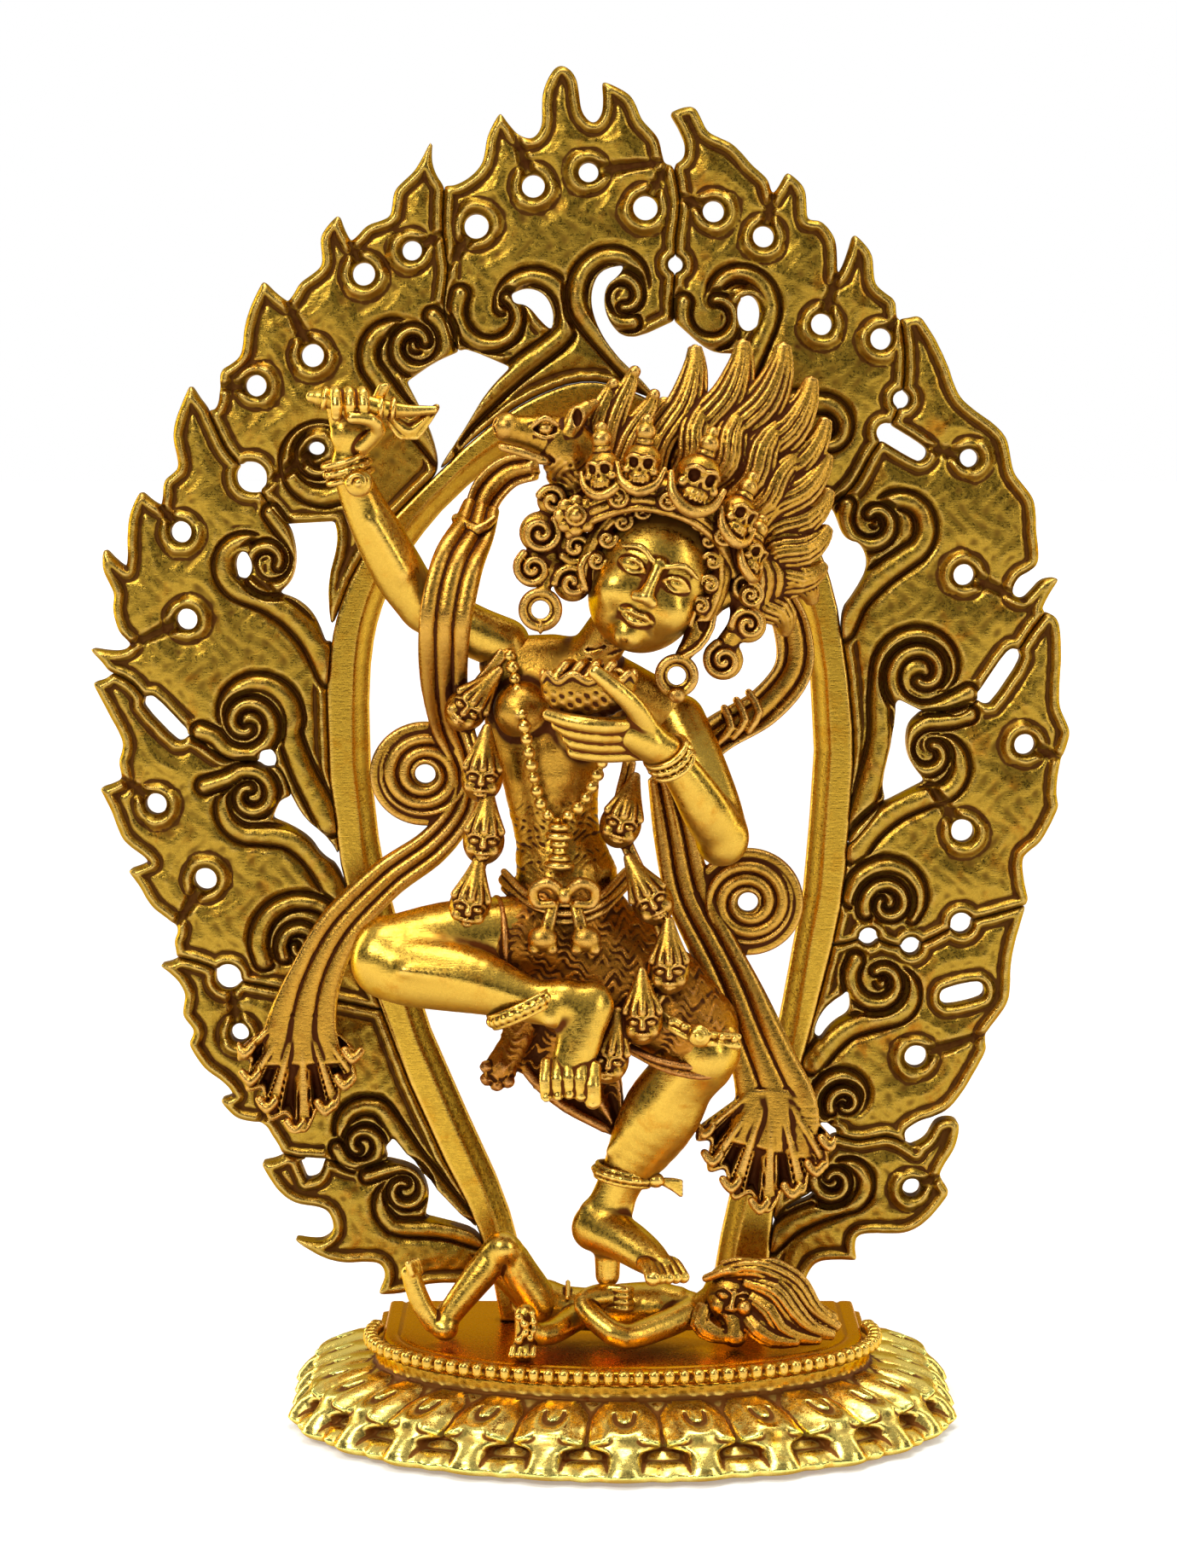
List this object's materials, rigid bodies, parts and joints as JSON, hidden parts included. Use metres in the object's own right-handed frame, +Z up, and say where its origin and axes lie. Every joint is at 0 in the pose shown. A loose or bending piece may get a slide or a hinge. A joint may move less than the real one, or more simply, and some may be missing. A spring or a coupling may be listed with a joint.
{
  "type": "dancing deity statue with flame halo",
  "caption": "Gilt brass dancing female deity on one leg over a prone figure, on a half-round lotus base, before a pierced flame halo that lifts out of the deck.",
  "frame": {"origin": "centre of the underside of the base on the table, below the middle of the deck's width; the base's flat back is at Y = 0.019 m", "axes": "+Z up, +X to the viewer's right as the deity faces the viewer, +Y from the viewer to the flat back of the base"},
  "size_m": [0.1146, 0.0479, 0.1574],
  "materials": {
    "gilt_brass": "fire-gilt lost-wax brass, polished high points over red-brown patina in the recesses",
    "halo_brass": "gilt brass filed flat on its front, olive-gold, with bright burnished rims and dark recesses",
    "copper": "beaten sheet, dull and brown, closing the underside"
  },
  "bodies": {
    "statue": {"base_plate": "copper", "lotus_base": "gilt_brass", "bead_rim": "gilt_brass", "tiger_skirt": "gilt_brass", "torso": "gilt_brass", "head": "gilt_brass", "prone_body": "gilt_brass", "prone_legs": "gilt_brass", "prone_head": "gilt_brass", "standing_leg": "gilt_brass", "raised_leg": "gilt_brass", "skull_cup": "gilt_brass", "left_arm": "gilt_brass", "curved_knife": "gilt_brass", "right_arm": "gilt_brass", "bracelet_right": "gilt_brass", "bracelet_left": "gilt_brass", "anklet_raised": "gilt_brass", "anklet_standing": "gilt_brass", "skull_crown": "gilt_brass", "sow_head": "gilt_brass", "earring_left": "gilt_brass", "earring_right": "gilt_brass", "necklace": "gilt_brass", "belt": "gilt_brass", "head_garland_left": "gilt_brass", "head_garland_right": "gilt_brass", "thigh_strap": "gilt_brass", "hair_flames": "gilt_brass", "scarf_left": "gilt_brass", "scarf_right_upper": "gilt_brass", "scarf_right_tail": "gilt_brass"},
    "halo": {"halo_arch": "halo_brass", "flame_left_1": "halo_brass", "flame_left_2": "halo_brass", "flame_left_3": "halo_brass", "flame_left_4": "halo_brass", "flame_left_5": "halo_brass", "flame_top": "halo_brass", "flame_right_1": "halo_brass", "flame_right_2": "halo_brass", "flame_right_3": "halo_brass", "flame_right_4": "halo_brass", "flame_right_5": "halo_brass"}
  },
  "joints": [
    {"name": "halo_lift", "type": "slide", "parent": "statue", "child": "halo", "axis": [0, 0, 1], "range_m": [0, 0.012]}
  ]
}
